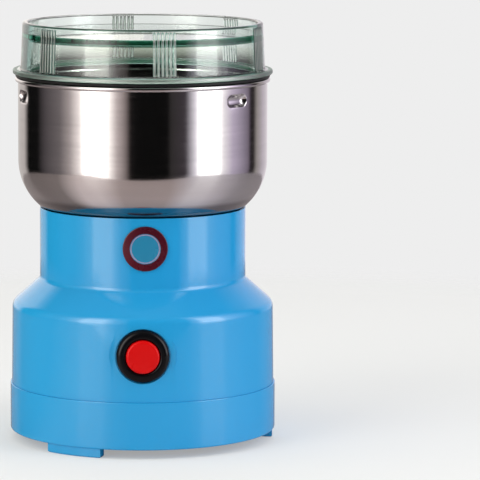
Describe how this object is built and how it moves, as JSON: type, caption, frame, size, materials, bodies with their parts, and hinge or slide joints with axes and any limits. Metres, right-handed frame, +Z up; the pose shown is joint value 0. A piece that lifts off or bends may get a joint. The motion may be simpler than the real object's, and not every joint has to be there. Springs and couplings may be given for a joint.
{
  "type": "electric coffee grinder",
  "caption": "Upright blade grinder: blue moulded housing with a front push button, polished steel bowl with a turning cutter, and a clear twist-off lid that lifts away.",
  "frame": {"origin": "on the table, on the axis of the shaft", "axes": "+Z up along the shaft, front with the push button towards -Y, cord gland towards +Y"},
  "size_m": [0.1076, 0.1112, 0.1687],
  "materials": {
    "blue_plastic": "glossy moulded",
    "polished_steel": "mirror polished stainless",
    "blade_steel": "stamped and ground stainless",
    "screw_steel": "bright plated",
    "zinc_plate": "zinc plated",
    "core_sheet": "stacked varnished sheets",
    "copper": "enamelled copper",
    "brass": "plain",
    "carbon": "pressed carbon",
    "nylon": "natural nylon",
    "black_plastic": "satin moulded",
    "red_plastic": "glossy moulded",
    "badge_film": "plain printed disc",
    "black_rubber": "soft moulded",
    "lead_sleeve": "soft insulation",
    "clear_green": "clear tinted, polished"
  },
  "bodies": {
    "base": {"base_cover": "blue_plastic", "base_screws": "screw_steel", "upper_housing": "blue_plastic", "badge": "badge_film", "cord_gland": "black_plastic", "switch_bezel": "black_plastic", "switch_nut": "zinc_plate", "contact_block": "black_plastic", "switch_terminals": "brass", "switch_spring": "screw_steel", "bowl": "polished_steel", "bowl_gasket": "black_rubber", "bowl_screws": "screw_steel", "shaft_hub": "nylon", "hub_nut": "zinc_plate", "shaft_seal": "black_rubber", "upper_bracket": "zinc_plate", "lower_bracket": "zinc_plate", "upper_bush": "brass", "lower_bush": "brass", "stator_core": "core_sheet", "field_coils": "copper", "motor_bolts": "screw_steel", "motor_nuts": "screw_steel", "motor_screws": "screw_steel", "motor_grommets": "black_rubber", "brush_holders": "black_plastic", "carbon_brushes": "carbon", "brush_springs": "screw_steel", "motor_leads": "lead_sleeve"},
    "rotor": {"motor_shaft": "screw_steel", "armature_core": "core_sheet", "armature_winding": "copper", "commutator": "copper", "cooling_fan": "black_plastic", "blade_collar": "screw_steel", "lower_blade": "blade_steel", "blade_spacer": "screw_steel", "upper_blade": "blade_steel", "blade_nut": "polished_steel"},
    "button": {"button_cap": "red_plastic"},
    "seal": {"lid_seal": "black_rubber"},
    "lid": {"lid": "clear_green"}
  },
  "joints": [
    {"name": "rotor_spin", "type": "hinge", "parent": "base", "child": "rotor", "pos_m": [0, 0, 0.09], "axis": [0, 0, 1], "continuous": true},
    {"name": "button_press", "type": "slide", "parent": "base", "child": "button", "axis": [0, 1, 0], "range_m": [0, 0.003], "stiffness_N_per_m": 800, "deforming": ["switch_spring"]},
    {"name": "lid_lift", "type": "slide", "parent": "base", "child": "seal", "axis": [0, 0, 1], "range_m": [0, 0.08]},
    {"name": "lid_twist", "type": "hinge", "parent": "seal", "child": "lid", "pos_m": [0, 0, 0.148], "axis": [0, 0, -1], "range_deg": [0, 33]}
  ]
}
